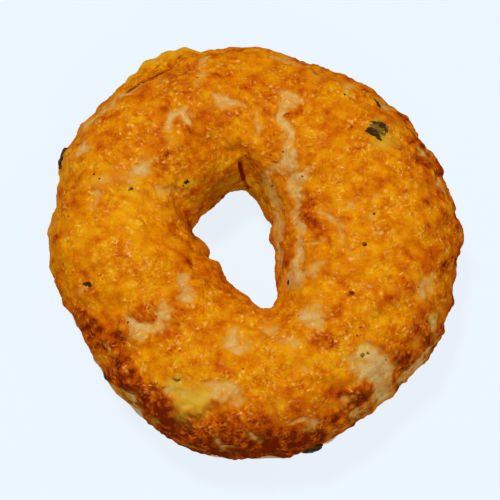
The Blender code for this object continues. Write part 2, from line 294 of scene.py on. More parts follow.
# Spots where the cheese drew back and pale dough shows, or where it is thin enough to show it
bareSpots = [
    # the winding strip right of the hole
    (9.5, 36.8, 34, 5, 2.4, -20, 1), (7, 31.5, 34, 7, 1.7, 85, 1), (9.2, 26, 34, 7, 1.9, -70, 1),
    (8.2, 21, 33, 4.5, 2.6, -90, 0.8), (5, 19, 30, 5.5, 3, 0, 0.6), (13.5, 15.8, 33, 3.6, 2.4, 30, 0.9),
    (10.3, 14.5, 32, 4.4, 3, -80, 0.8), (10.4, 9.3, 31.5, 6, 2.4, -85, 0.9),
    (11.3, 3, 31, 6, 1.6, 88, 0.85), (11.3, -3, 31, 5, 1.5, 88, 0.8), (7, 0.5, 25, 5.5, 1.2, 85, 0.6),
    (11, -6.5, 31, 6.5, 2.2, 90, 0.9), (9.5, -10.5, 30, 5, 3.2, 60, 0.9),
    # the hole's right wall
    (5.8, 5.2, 24, 8, 2.6, 85, 0.7), (6.6, -5.2, 25, 7.5, 2.4, 88, 0.75),
    (3.2, 15.5, 25, 6, 3, -60, 0.6), (5.5, 10.5, 27, 6, 2.4, -70, 0.6),
    # upper left of the crown
    (-19.5, 31.5, 36, 6, 2.1, 10, 0.9), (-22.5, 28.5, 35, 4.3, 2.1, 80, 0.9),
    (-30, 17, 36, 6.4, 3.7, 45, 1), (-25, 11.5, 33, 4.3, 2.7, 20, 0.72),
    (-20.5, 13, 31, 5.3, 3.2, 20, 0.5), (-22, 23.5, 35, 3.2, 2.7, 0, 0.5),
    (-7.5, 36, 34, 7, 2.9, 0, 0.8), (-14, 48.5, 30, 4.3, 3.2, 90, 0.7),
    (-14.5, 42, 34, 6, 2.4, 80, 0.6), (-24, 41.5, 32, 5.3, 2.7, 20, 0.5),
    (-30.5, 30.5, 35, 4.3, 2.1, -60, 0.4),
    # left rim
    (-39, 14.5, 36, 7, 3.2, 0, 0.6), (-41, 9, 35, 4.3, 2.9, 70, 0.72),
    (-45, 24, 32, 4.3, 2.7, 60, 0.72), (-43, 32.5, 28, 4.8, 2.7, 45, 0.8),
    (-34.5, 39, 30, 4.8, 2.7, 40, 0.9), (-39.5, 35.5, 29, 4.3, 2.1, 45, 0.6),
    (-31, 42.5, 29, 5.3, 2.7, 35, 0.5), (-50, 22, 22, 18, 6, 65, 0.4), (-54, 4, 22, 16, 5, 88, 0.4),
    # lower left
    (-29.5, -25.5, 34, 3.2, 2.7, 45, 1), (-31, -22.5, 34, 3.2, 2.1, -30, 0.85),
    (-26, -24.5, 35, 6.4, 2.1, 5, 0.85), (-23.5, -20.5, 36, 4.3, 2.4, 80, 0.9),
    (-19, -12, 35, 3.7, 2.9, -30, 0.85), (-18, -16, 35, 4.3, 2.7, 60, 0.8),
    (-44.5, -13.5, 31, 3.7, 1.6, 0, 0.5),
    # bottom
    (-7, -26.5, 35, 3.2, 2.7, 0, 0.8), (-5, -29.5, 35, 7, 2.9, 0, 0.9),
    (-20.5, -39.5, 33, 3.7, 3.2, 0, 0.75), (-16, -43, 33, 7, 5, 0, 0.6),
    (-12, -38.5, 35, 3.7, 2.1, 0, 0.6), (-7, -40.5, 35, 6, 3.7, 0, 0.85),
    (-31, -41.5, 23, 5.3, 2.7, -45, 0.7), (-25, -47, 24, 3.7, 1.6, -40, 0.5),
    (-8.5, -52, 27, 8, 1.6, -35, 0.5), (5, -45, 34, 4.3, 2.1, 0, 0.4),
    (13.5, -48.5, 30, 7, 2.1, 10, 0.6), (-0.5, -51, 29, 3.2, 2.1, 0, 0.5),
    # lower rim
    (-40.5, -33, 17, 7.5, 1.9, -60, 0.9), (-37, -38.5, 17, 4.8, 1.6, -50, 0.9),
    (21.5, -48.5, 23, 4.3, 2.1, 40, 0.5), (26.5, -44, 24, 4.3, 2.1, 30, 0.7),
    (34, -40, 21, 5.3, 2.7, 30, 0.85), (41.5, -32.5, 23, 9.6, 2.1, 50, 0.85),
    (23, -42, 30, 3.7, 2.1, 40, 0.7),
    # lower right
    (14.5, -21, 36, 5.3, 3.7, 0, 0.9), (15.5, -24.5, 37, 4.8, 3.2, 0, 0.85),
    (3.5, -24.5, 34, 5.3, 4.3, -30, 0.6), (9, -29, 37, 6.4, 3.2, 0, 0.7),
    (15.5, -9, 34, 4.3, 2.7, 50, 0.85), (44, -12.5, 32, 5.3, 4.8, 30, 0.75),
    (26.5, -32.5, 35, 6.4, 4.8, 0, 0.9), (31, -33.5, 32, 7, 5.3, 0, 0.95),
    (31.5, -38, 28, 5.3, 4.3, 90, 0.75), (46, -21, 27, 3.7, 2.1, 70, 0.85),
    (41, -27, 30, 4.3, 2.1, 60, 0.5), (46, -25.5, 25, 4.8, 1.6, 70, 0.6),
    (12, -34.5, 36, 4.3, 3.2, 0, 0.5), (25.5, -6, 37, 4.8, 2.1, -20, 0.5),
    (52.5, -10.5, 21, 6, 1.9, 85, 0.8),
    # upper right
    (0.5, 29.5, 34, 7.5, 1.9, 88, 0.66), (8, 49, 29, 6.4, 1.6, -8, 0.66),
    (17, 43.5, 31, 4.8, 3.2, 0, 0.5), (24, 41.5, 30, 3.2, 2.7, 0, 0.66),
    (34.5, 37.5, 26, 4.8, 2.7, -35, 0.75), (33, 24.5, 35, 3.2, 3.2, 0, 0.5),
    (44, 23.5, 28, 3.7, 2.1, -60, 0.72), (49, 15.5, 26, 4.8, 2.1, -50, 0.8),
    (19.5, 4, 35, 7.5, 2.7, -55, 0.78), (22.5, -1.5, 36, 3.2, 1.6, -45, 0.6),
    (24, 8, 36, 4.3, 1.9, 10, 0.6), (29.5, 4.5, 36, 3.2, 2.1, 60, 0.6),
    (30.5, -0.5, 36, 3.7, 2.1, 10, 0.6), (30.5, 10, 36, 3.2, 2.1, 80, 0.5),
    (16, -2.5, 33, 4.3, 1.9, 0, 0.6), (52.5, 2, 25, 3.7, 1.6, 90, 0.5),
]

# Mounds of cheese that browned more than the rest
toastedSpots = [
    # upper left
    (-25.5, 32.5, 36, 2.7, 2.1, 0, 0.8), (-11, 42.5, 34, 4.3, 3.2, 0, 0.6),
    (-18, 37.5, 35, 6, 3.7, -20, 0.6), (-33.5, 26, 35, 7.5, 4.3, 0, 0.6),
    (-25, 18.5, 35, 6, 3.2, 80, 0.6), (-18, 28.5, 35, 4.3, 3.2, 0, 0.6),
    (-49, 7.5, 31, 4.3, 2.7, 60, 0.7), (-52, 0, 28, 3.7, 2.7, 0, 0.8),
    # upper right
    (3.5, 27.5, 33, 7.5, 3.7, 88, 0.7), (10, 32.5, 35, 4.3, 2.7, 20, 0.8),
    (8.5, 17.5, 31, 3.2, 2.7, 0, 0.9), (43, 26.5, 27, 4.8, 3.2, -50, 0.8),
    (22.5, 3, 35, 4.8, 3.2, -50, 0.6), (14, 8, 32, 7, 2.7, -75, 0.7),
    (15.5, 1.5, 33, 5.3, 2.7, -60, 0.7), (45.5, 20.5, 28, 4.3, 4.3, -60, 0.7),
    (49.5, 20, 22, 2.7, 2.7, 0, 0.9),
    # lower right
    (37.5, -13, 36, 4.8, 4.3, 0, 0.6), (33.5, -17, 37, 4.8, 1.6, 20, 0.7),
    (39.5, -24.5, 32, 6.4, 5.3, 45, 0.55), (36.5, -32, 29, 4.8, 4.3, 60, 0.8),
    (43, -26.5, 28, 5.3, 2.1, 60, 0.8), (17, -28, 37, 7, 2.7, -5, 0.7),
    (19.5, -22, 37, 4.3, 3.7, 0, 0.6), (24, -39.5, 32, 6.4, 2.7, 20, 0.7),
    (26.5, -41.5, 29, 4.8, 2.7, 20, 0.7), (8, -5.5, 27, 3.7, 2.1, 80, 0.7),
    (8, -0.5, 26, 4.8, 2.1, 80, 0.6), (23.5, -15, 37, 1.9, 2.1, 0, 0.9),
    # lower left
    (-35.6, -27, 33, 24, 12, -55, 0.2), (0, -47, 30, 34, 9, 0, 0.5), (-28, -20.5, 35, 6.4, 4.3, 0, 0.7),
    (-32, -25, 34, 3.2, 3.7, 90, 0.8), (-22.5, -26.5, 35, 4.8, 2.7, 0, 0.6),
    (-20, -21, 36, 5.3, 2.7, -30, 0.7), (-33, -36.5, 28, 5.3, 6.4, -50, 0.8),
    (-45, -20.5, 26, 4.8, 3.7, -60, 0.7), (-19, -6, 33, 3.7, 3.2, 0, 0.6),
    (-41, -24, 28, 8.5, 4.8, -55, 0.6), (-37, -30.5, 28, 8.5, 4.8, -55, 0.4),
    # bottom
    (-27.5, -43, 26, 9.6, 4.3, -40, 0.8), (-17, -51.5, 24, 10.7, 4.8, -20, 0.9),
    (-19.5, -48, 27, 10.7, 4.3, -25, 0.9), (-3, -53.5, 25, 13.4, 4.3, 0, 0.8),
    (11, -51, 28, 11.7, 3.7, 10, 0.7),
]

# Jalapeno under the cheese, which tints it a yellow green
greenSpots = [
    (-16.5, -42.5, 33, 8, 6, 20, 1.1), (26.5, -31, 35, 4, 3.4, 0, 0.6),
    (32.6, 27.4, 33.6, 8, 6, -40, 0.6), (-32, 11.7, 36, 4.5, 2.4, 20, 0.6),
    (30.5, 5, 36, 2.4, 1.8, 60, 0.6), (23.5, 38, 32, 4.5, 2.4, 40, 0.6),
    (-18, 15, 31, 5, 3.4, 10, 0.55), (-20, -38, 34, 4.5, 2, 10, 0.6),
]

# Where the cheese is darkened: painted shade on the wall above the hole and in its pinch, and a dark
# amber tint round two bits of jalapeno
shadeAndTintSpots = [
    (-5, 16, 20, 20, 7, -8, 0.6), (-8, 14, 14, 24, 10, 0, 0.5), (-16, 2, 20, 5, 8, 80, 0.4),
    (-3.5, 20, 27, 5, 5, 0, 0.4), (31.4, 28.2, 34, 6, 4.6, -40, 0.7),
    (30.4, -36.6, 30, 2.4, 1.4, 60, 0.7),
]

# Creases that browned dark, darkened further by painted shade: the seam above the hole, its left pinch,
# the tongue's root, and the edge of the large green piece. Paths are in plan. They and the foot, below
# which a crease fades out, are in millimetres
creases = [
    {"path": [(-4.1, 21.7), (-3.7, 20.2), (-3.2, 18.8)], "width": 0.85, "strength": 1.1, "foot": 12},
    {"path": [(-3.2, 18.8), (-1.9, 16.6), (0, 13.8)], "width": 0.5, "strength": 0.75, "foot": 12},
    {"path": [(-18.4, 8.2), (-16.8, 4), (-16, 1.5)], "width": 1.0, "strength": 0.75, "foot": 12},
    {"path": [(-34, 40.3), (-31, 42.4), (-26.9, 45), (-22.5, 47.3)],
     "width": 0.75, "strength": 0.85, "foot": 20},
    {"path": [(-22.5, 47.3), (-20.5, 46.6), (-18.8, 45)], "width": 0.6, "strength": 0.5, "foot": 20},
    {"path": [(-21.9, -40.2), (-20.9, -43.5), (-18.8, -46), (-16.7, -46.9)],
     "width": 0.3, "strength": 0.5, "foot": 20},
]


# The cheese

# A list of layers gives the strength, size and seed of each noise in it
cheddar = {
    "columns": 800, "rows": 186,
    "turns": (math.radians(-34), math.radians(212)),
    "bands": {"cheddar_rim": (0, 44), "cheddar_crown": (38, 148), "cheddar_hole": (142, 186)},
    "buriedRows": 5, "buriedDepth": 1.8 * mm,
    "lapRows": 5, "lapDip": 0.02 * mm,  # how far a band's edge sinks below the band beside it
    "bends": [(4.5 * mm, 3.2 * mm, 21), (1.5 * mm, 1.2 * mm, 25)],  # size, reach and seed, for ragged spots
    "bareLayers": [(0.3, 1.3 * mm, 29)],
    "bareStreak": 2, "bareStreakFrom": 0.22,
    "bareLevel": 1.9,                  # marks stronger than this are bare dough, the others thin cheese
    "bareGradient": 1.1 * mm,
    "rimFrom": (26 * mm, 36 * mm),     # radii between which the hole's wall gives way to the rim
    # height of the cheese's lower edge on the rim, at each hour, and on the hole's wall
    "edgeHeights": np.array([12.5, 12, 12, 12, 13, 13, 12, 15, 17.5, 17, 14.5, 13.5]) * mm,
    "holeEdge": 10 * mm,
    "edgeLayers": [(3.5 * mm, 9 * mm, 41), (2.1 * mm, 3.5 * mm, 42)],
    "edgeSlope": 0.8, "edgeRound": 0.45 * mm, "tuckSlope": 0.9, "tuckReach": 1.2 * mm,
    "thickness": 0.6 * mm, "thicknessLayers": [(0.7, 4 * mm, 53)],
    "blisterSize": 1.9 * mm, "blisterHeight": 0.6 * mm, "blisterShare": 0.7,
    "swellSize": 2.6 * mm, "swellHeight": 0.5 * mm, "swellBend": (4 * mm, 1.5 * mm),
    "shredSize": 1.2 * mm, "shredHeight": 0.3 * mm, "shredBend": (2.5 * mm, 1.2 * mm),
    "shredPatch": 7 * mm, "streakHeight": 0.3 * mm,
    "moundHeight": 0.5 * mm, "creaseDepth": 0.7 * mm,
    "thinLayers": [(0.6, 2.2 * mm, 57), (0.4, 0.9 * mm, 58)],
    # painted shade in the pits and painted light on the tops of the fine relief
    "pitShadeTopLight": 0.3, "pitDepth": 0.5 * mm, "pitLevel": 0.4,
}
browning = {
    # how brown the crown and the rim are, and how streaked the rim is, at each hour from three o'clock
    "crown": np.array([0.28, 0.32, 0.36, 0.31, 0.4, 0.32, 0.21, 0.34, 0.34, 0.27, 0.28, 0.3]),
    "rim": np.array([0.54, 0.4, 0.28, 0.18, 0.16, 0.2, 0.22, 0.33, 0.54, 0.72, 0.64, 0.58]),
    "streaks": np.array([0.5, 0.3, 0.2, 0.2, 0.2, 0.2, 0.3, 0.7, 0.8, 0.9, 1, 0.9]),
    "least": 0.22, "crownFrom": (12 * mm, 30 * mm),
    # painted shade round the hole, added as browning
    "holeWallShade": 0.14, "holeReach": (14 * mm, 27 * mm),
    "rimHeight": 19 * mm, "rimWidth": 12 * mm, "rimFrom": (31 * mm, 48 * mm),
    "layers": [(0.34, 9 * mm, 31), (0.52, 2.6 * mm, 32)],
    "rimLayers": [(0.6, 4.5 * mm, 33), (0.5, 1.8 * mm, 34)],
    "mound": 0.38, "streak": 0.5,
    "streakRing": 9 * mm, "streakSize": 1.5 * mm,      # a smaller ring draws the streaks out further
    "softAbove": 0.6, "softRange": 0.38,               # browning above this level is held back
}


def creased(points):
    # how strongly each point is creased, the strongest crease counting
    mark = np.zeros(len(points))
    for fold in creases:
        here = alongPath(points, fold["path"], fold["width"])
        here *= ease((fold["foot"] - 1) * mm, (fold["foot"] + 1) * mm, points[:, 2])
        mark = np.maximum(mark, fold["strength"] * here)
    return mark


def rimStreaks(points, angle, seed):
    # noise read on a ring much smaller than the bagel's, so that its spots are drawn out along the rim
    small = np.column_stack([browning["streakRing"] * np.cos(angle), browning["streakRing"] * np.sin(angle),
                             points[:, 2]])
    return noise(small, browning["streakSize"], seed) * around(browning["streaks"], angle)


def cheeseToast(points, angle, outer, mounds):
    # the crown's browning at its hour, with painted shade added as more of it round the hole, and more
    # along the rim, on mounds and in streaks, all varied by noise; above a level it is held back, so that
    # brown places stay varied
    fromHole = np.hypot(*(points[:, :2] - ring["holeCentre"]).T)
    rimBell = np.exp(-(((points[:, 2] - browning["rimHeight"]) / browning["rimWidth"]) ** 2))
    toast = around(browning["crown"], angle) * ease(*browning["crownFrom"], points[:, 2])
    toast = np.maximum(toast, browning["least"])
    # painted shade round the hole
    toast += browning["holeWallShade"] * (1 - ease(*browning["holeReach"], fromHole))
    toast += layered(points, browning["layers"])
    toast += around(browning["rim"], angle) * rimBell * outer * (1 + layered(points, browning["rimLayers"]))
    toast += browning["mound"] * mounds + browning["streak"] * rimStreaks(points, angle, 35) * outer
    above = np.maximum(toast - browning["softAbove"], 0) / browning["softRange"]
    return np.minimum(toast, browning["softAbove"]) + browning["softRange"] * np.tanh(above)


def cheeseMarks(points, angle):
    # how toasted, bare, green, mounded and creased each point is, and how much painted shade and jalapeno
    # tint darken it, with edges made ragged by noise
    ragged = points
    for size, reach, seed in cheddar["bends"]:
        ragged = warped(ragged, size, reach, seed)
    outer = ease(*browning["rimFrom"], np.hypot(points[:, 0], points[:, 1]))
    bareStreaks = rimStreaks(points, angle, 36) * outer - cheddar["bareStreakFrom"]
    bare = spotted(ragged, bareSpots) + layered(points, cheddar["bareLayers"])
    bare += cheddar["bareStreak"] * np.maximum(bareStreaks, 0)
    mounds = ease(0.1, 0.9, spotted(ragged, toastedSpots))
    green = ease(0.1, 0.8, spotted(ragged, greenSpots))
    shadeAndTint = ease(0, 0.9, spotted(ragged, shadeAndTintSpots))
    crease = creased(points)
    toast = np.maximum(cheeseToast(points, angle, outer, mounds), crease)
    crease = crease.clip(0, 1)
    # the darkening takes painted shade from the creases as well
    return toast.clip(0, 1), bare * (1 - crease), green, np.maximum(shadeAndTint, 0.8 * crease), mounds, crease


def cheeseDetail(points, angle, toast, onRim):
    # blisters that are higher where toasted, swells, melted shreds that are higher in patches, and the
    # rim's streaks
    blisters = domes(points, cheddar["blisterSize"], cheddar["blisterShare"], 61)
    swells = noise(warped(points, *cheddar["swellBend"], 51), cheddar["swellSize"], 52)
    shreds = noise(warped(points, *cheddar["shredBend"], 55), cheddar["shredSize"], 56)
    bubbly = ease(-0.2, 0.2, noise(points, cheddar["shredPatch"], 54))
    fine = cheddar["blisterHeight"] * blisters * (0.3 + toast) + cheddar["swellHeight"] * swells
    fine += cheddar["shredHeight"] * shreds * (0.4 + 0.6 * bubbly)
    return fine + cheddar["streakHeight"] * rimStreaks(points, angle, 35) * onRim


def cheeseSurface():
    # the baked surface with its normals, the cheese's thickness over it, and the marks for the material.
    # The thickness is rounded off towards the edges, and beyond them it is less than nothing, which
    # tucks the cheese into the dough
    turns = evenTurns(*cheddar["turns"], cheddar["rows"])
    surface, normals, angle = bakedSurface(turns, cheddar["columns"], False)
    toast, bare, green, shadeAndTint, mounds, crease = cheeseMarks(surface, angle)
    onRim = ease(*cheddar["rimFrom"], np.hypot(surface[:, 0], surface[:, 1]))
    edge = onRim * around(cheddar["edgeHeights"], angle) + (1 - onRim) * cheddar["holeEdge"]
    edge += layered(surface, cheddar["edgeLayers"])
    inward = np.minimum(cheddar["edgeSlope"] * (surface[:, 2] - edge),
                        cheddar["bareGradient"] * (cheddar["bareLevel"] - bare))
    full = 1 - np.exp(-np.maximum(inward, 0) / cheddar["edgeRound"])
    thin = ease(0.2, 0.8, bare)
    fine = cheeseDetail(surface, angle, toast, onRim) * (1 - 0.75 * thin) * (1 - crease)
    depth = cheddar["thickness"] * (0.75 + layered(surface, cheddar["thicknessLayers"])) * (1 - 0.8 * thin)
    thickness = full * (depth + fine + cheddar["moundHeight"] * mounds - cheddar["creaseDepth"] * crease)
    thickness += cheddar["tuckSlope"] * np.minimum(inward, 0).clip(-cheddar["tuckReach"])
    mottle = (0.85 + layered(surface, cheddar["thinLayers"])).clip(0, 1)
    marks = {
        # painted shade in the pits and painted light on the tops, from the fine relief
        "toast": toast - cheddar["pitShadeTopLight"] * (fine / cheddar["pitDepth"] - cheddar["pitLevel"]),
        "thin": ease(0.12, 0.95, bare) * (1 - 0.25 * crease) * mottle,
        "green": green,
        # painted shade and jalapeno tint, which darken the colour
        "shadeAndTint": shadeAndTint,
    }
    shape = (cheddar["columns"], cheddar["rows"])
    return (surface.reshape(shape + (3,)), normals.reshape(shape + (3,)), thickness.reshape(shape),
            {mark: values.reshape(shape) for mark, values in marks.items()})


def makeCheddar():
    # each band is a closed shell: its share of the outer rows, then a few rows buried in the dough
    surface, normals, thickness, marks = cheeseSurface()
    pieces = []
    for name, (first, last) in cheddar["bands"].items():
        rows = np.arange(first, last)
        lap = np.minimum(rows - first, last - 1 - rows)
        dip = cheddar["lapDip"] * np.clip(1 - lap / cheddar["lapRows"], 0, 1)
        outer = surface[:, rows] + normals[:, rows] * (thickness[:, rows] - dip)[..., None]
        buried = np.linspace(last - 1, first, cheddar["buriedRows"]).astype(int)
        inner = surface[:, buried] - normals[:, buried] * cheddar["buriedDepth"]
        grid = np.concatenate([outer, inner], axis=1)
        columns, count = grid.shape[:2]
        values = {m: np.concatenate([v[:, rows], v[:, buried]], axis=1).ravel() for m, v in marks.items()}
        pieces.append(meshPiece(name, grid.reshape(-1, 3), ringFaces(columns, count), values))
    return pieces


# The dough under it

dough = {
    "columns": 480, "rows": 150,
    "pitSize": 1.6 * mm, "pitDepth": 0.1 * mm, "pitShare": 0.25,
    "wrinkleSize": 3.5 * mm, "wrinkleHeight": 0.16 * mm, "wrinkleBend": (6 * mm, 2 * mm),
    "creaseDepth": 1.12 * mm,
    "baseFade": 2 * mm,
    "toast": 0.18, "layers": [(0.4, 9 * mm, 84), (0.25, 2.5 * mm, 85)],
    "footToast": 0.6, "footHeights": (1 * mm, 8.5 * mm), "footLayers": [(5 * mm, 8 * mm, 86)],
    "baseToast": 0.25, "baseHeight": 0.4 * mm, "baseLayers": [(1, 12 * mm, 87)],
}


def makeDough():
    # the baked surface all round the section, with shallow wrinkles and pits, browned more on its
    # lowest strip and under its base
    turns = np.linspace(-math.pi, math.pi, dough["rows"], endpoint=False)
    surface, normals, _ = bakedSurface(turns, dough["columns"], True)
    height = surface[:, 2]
    wrinkles = noise(warped(surface, *dough["wrinkleBend"], 81), dough["wrinkleSize"], 82)
    fine = dough["wrinkleHeight"] * wrinkles - dough["creaseDepth"] * creased(surface)
    fine -= dough["pitDepth"] * domes(surface, dough["pitSize"], dough["pitShare"], 83)
    points = surface + (fine * ease(0, dough["baseFade"], height))[:, None] * normals
    foot = 1 - ease(*dough["footHeights"], height + layered(surface, dough["footLayers"]))
    base = (1 - ease(0, dough["baseHeight"], height)) * (1 + layered(surface, dough["baseLayers"]))
    toast = dough["toast"] + layered(surface, dough["layers"])
    toast += dough["footToast"] * foot + dough["baseToast"] * base
    faces = ringFaces(dough["columns"], dough["rows"])
    return meshPiece("dough_ring", points, faces, {"toast": toast.clip(0, 1)})


# The tongue of cheese over the upper left rim

tongue = {
    "angles": (math.radians(129), math.radians(104)), "heights": (24.3 * mm, 26.3 * mm),
    "reach": 2.2 * mm, "root": 5.0 * mm,               # its width outside the rim and inside it
    "endSink": 1.4 * mm, "endRoundness": 0.6,
    "thickness": 2.4 * mm, "droop": math.radians(22),
    "waves": 4, "waveHeight": 0.5 * mm,
    "columns": 90, "rows": 260,
    "ruffleSize": 2.2 * mm, "ruffleHeight": 0.7 * mm, "lumpSize": 4.5 * mm, "lumpHeight": 1.1 * mm,
    "toast": 0.42, "edgeToast": -0.12, "rootToast": 0.4, "layers": [(0.45, 3 * mm, 92), (0.3, 1.2 * mm, 97)],
}


def makeTongue():
    # a ball drawn out along the rim: its fall from pole to pole goes along the rim, its turn goes round a
    # flat oval whose outer edge is waved, and the whole droops outwards
    turn, fall = ballGrid(tongue["columns"], tongue["rows"])
    part, side = fall / math.pi, np.cos(turn)          # side is 1 at the outer edge and -1 at the root
    swell = np.sin(fall).clip(0) ** tongue["endRoundness"]
    (firstAngle, lastAngle), (firstHeight, lastHeight) = tongue["angles"], tongue["heights"]
    angle = firstAngle + part * (lastAngle - firstAngle)
    halfWidth = 0.5 * (tongue["reach"] + tongue["root"])
    wave = tongue["waveHeight"] * np.sin(math.tau * tongue["waves"] * part)
    out = swell * (halfWidth * side + np.where(side > 0, wave, 0))
    up = 0.5 * tongue["thickness"] * swell * np.sin(turn)
    radius = around(ring["rimRadii"], angle) + tongue["reach"] - halfWidth
    radius -= tongue["endSink"] * ease(0.7, 1, part)
    radius += out * math.cos(tongue["droop"]) + up * math.sin(tongue["droop"])
    height = firstHeight + ease(0.3, 1, part) * (lastHeight - firstHeight)
    height += up * math.cos(tongue["droop"]) - out * math.sin(tongue["droop"])
    points = np.column_stack([radius * np.cos(angle), radius * np.sin(angle), height]) - ring["middle"]
    outwards = np.column_stack([np.cos(angle), np.sin(angle), 0.6 * np.sin(turn)])
    ruffle = tongue["ruffleHeight"] * noise(points, tongue["ruffleSize"], 91) * (0.4 + 0.6 * side.clip(0))
    ruffle += tongue["lumpHeight"] * noise(points, tongue["lumpSize"], 98)
    points += outwards * (ruffle * swell)[:, None]
    root, edge = 1 - ease(-0.9, -0.2, side), ease(-0.1, 0.9, side)
    toast = tongue["toast"] + tongue["edgeToast"] * edge + tongue["rootToast"] * root
    toast += layered(points, tongue["layers"])
    # the tongue's darkening mark is painted shade, most at its drooping outer edge
    marks = {"toast": toast.clip(0, 1), "thin": 0.2 * edge, "green": 0.4 * edge,
             "shadeAndTint": 0.3 + 0.4 * ease(0.7, 1, side)}
    return meshPiece("cheddar_tongue", points, ballFaces(tongue["columns"], tongue["rows"]), marks)


# Bits of jalapeno: x, y, z, length, width, thickness in millimetres, turn in degrees, how far each
# stands out of the surface, and how much of it is pale flesh

jalapeno = {
    "bits": {
        "rim_left": (-50.8, 24.0, 21.5, 6.0, 3.4, 2.4, 66, 0.42, 0),
        "crown_flesh": (31.9, 28.6, 33.6, 4.6, 3.6, 1.2, -20, 0.1, 0.75),
        "crown_low": (30.3, 27.4, 34, 5.0, 2.4, 1.6, -50, 0.3, 0.0),
        "crown_high": (32.4, 29.9, 33, 4.8, 1.6, 1.3, -22, 0.35, 0.15),
        "crown_end": (34, 28.7, 33, 2.4, 1.3, 1.1, 50, 0.3, 0.35),
        "sliver_right": (32.4, 36.5, 29.3, 2.8, 1.1, 1.0, -62, 0.3, 0.05),
        "rim_bottom": (14.0, -54.2, 19.4, 6.2, 2.2, 1.8, 22, 0.15, 0),
        "sliver_left": (-43.5, -12.5, 31.9, 3.2, 1.2, 0.8, -5, 0.1, 0.15),
        "sliver_side": (-42.3, -12.9, 32, 2.0, 0.8, 0.7, 8, 0.1, 0.1),
        "dot_top": (-17.9, 14.9, 30.8, 1.7, 1.3, 0.9, 20, 0.2, 0.15),
        "sliver_low": (-20.1, -37.6, 33.9, 2.4, 0.8, 0.7, 10, 0.1, 0.4),
        "side_low": (-38.7, -34.6, 20.7, 2.6, 1.6, 1.0, -50, 0.2, 0.2),
        "wall_right": (8.5, -11.1, 27.2, 1.2, 0.8, 0.8, 60, 0.3, 0),
        "smear_left": (-32.1, 11.7, 35.7, 1.6, 0.8, 0.5, 20, 0.05, 0.5),
        "smear_low": (27.0, -31.6, 35.2, 1.5, 1.1, 0.5, 40, 0.1, 0.8),
        "smear_lower": (28.4, -31.0, 34.9, 1.0, 0.7, 0.4, -30, 0.1, 0.8),
    },
    "columns": 40, "rows": 26,
    "fullness": 0.8, "curl": 0.2,
    # how uneven the outline is: strength, size and seed of each noise, and how far each bit shifts it
    "outline": [(0.9, 0.8, 93, 7.3), (0.5, 0.35, 94, 3.1)],
    "dentLayers": [(0.12 * mm, 0.8 * mm, 95)], "fleshLayers": [(0.7, 0.9 * mm, 96)],
}

# Specks of jalapeno and pepper seed: x, y, z in millimetres, and width
specks = {
    "places": [
        (27.6, -3.4, 36.9, 1.2), (24.2, -15.7, 37, 1.3), (30.3, 4.9, 36.1, 0.8), (23.3, 38, 32.4, 0.7),
        (24.6, 37, 32.4, 0.5), (12.3, 16, 32.5, 0.7), (4.7, 15, 27, 0.8), (-41.6, 15.5, 34.5, 0.7),
        (-40.2, 14.4, 35, 0.5), (26.5, -24.8, 37, 0.6), (25.6, -26.8, 37, 0.6), (33.6, -32.9, 32, 0.5),
        (-18.8, 13.9, 30.5, 0.6), (-32.5, -23, 34, 0.7), (-3.6, 21.6, 28.4, 0.6), (14.6, 9.8, 33, 0.5),
        (7.5, 22.8, 32, 0.5), (-15.4, 42.6, 34, 0.5), (-3.2, -35, 36, 0.5), (10.6, -20.6, 35, 0.4),
        (6.2, 8.2, 27, 0.5),
    ],
    "strewn": 34,                      # and these over the whole crust, by chance
    "widths": (0.3 * mm, 0.65 * mm), "narrowest": 0.55, "flatness": 0.35, "lift": 0.14,
    "columns": 10, "rows": 6,
}


def surfaceFinder(pieces):
    # the cheese's surface as one tree, which gives the nearest point and its normal
    corners, faces, start = [], [], 0
    for piece in pieces:
        corners += [v.co.copy() for v in piece.data.vertices]
        faces += [[start + k for k in f.vertices] for f in piece.data.polygons]
        start = len(corners)
    return BVHTree.FromPolygons(corners, faces)


def seated(points, finder, place, turn, lift):
    # points about the origin set on the surface at the nearest place: x along the turn, z along the normal
    spot, normal, _, _ = finder.find_nearest(Vector(place))
    along = Vector((math.cos(turn), math.sin(turn), 0))
    along = (along - along.dot(normal) * normal).normalized()
    axes = np.array([along, normal.cross(along), normal])
    return points @ axes + np.array(spot + normal * lift)


def makeJalapeno(finder):
    # each bit is a flattened ball with an uneven outline and a slight curl, set in the crust
    turn, fall = ballGrid(jalapeno["columns"], jalapeno["rows"])
    edge = np.sin(fall).clip(0) ** jalapeno["fullness"]
    ball = np.column_stack([np.cos(turn) * edge, np.sin(turn) * edge, np.cos(fall)])
    bits, flesh = [], []
    for number, bit in enumerate(jalapeno["bits"].values()):
        x, y, z, length, width, thickness, bitTurn, stand, fleshShare = bit
        uneven = 1 + sum(strength * noise(ball + shift * number, size, seed)
                         for strength, size, seed, shift in jalapeno["outline"])
        shape = ball * uneven[:, None] * 0.5 * np.array([length, width, thickness]) * mm
        shape[:, 2] -= jalapeno["curl"] * thickness * mm * (shape[:, 0] / (0.5 * length * mm)) ** 2
        shape[:, 2] += layered(shape, jalapeno["dentLayers"])
        lift = (stand - 0.5) * 0.5 * thickness * mm
        bits.append(seated(shape, finder, np.array([x, y, z]) * mm, math.radians(bitTurn), lift))
        flesh.append(fleshShare + layered(bits[-1], jalapeno["fleshLayers"]))
    return ballsPiece("jalapeno_bits", bits, jalapeno, {"flesh": np.concatenate(flesh).clip(0, 1)})


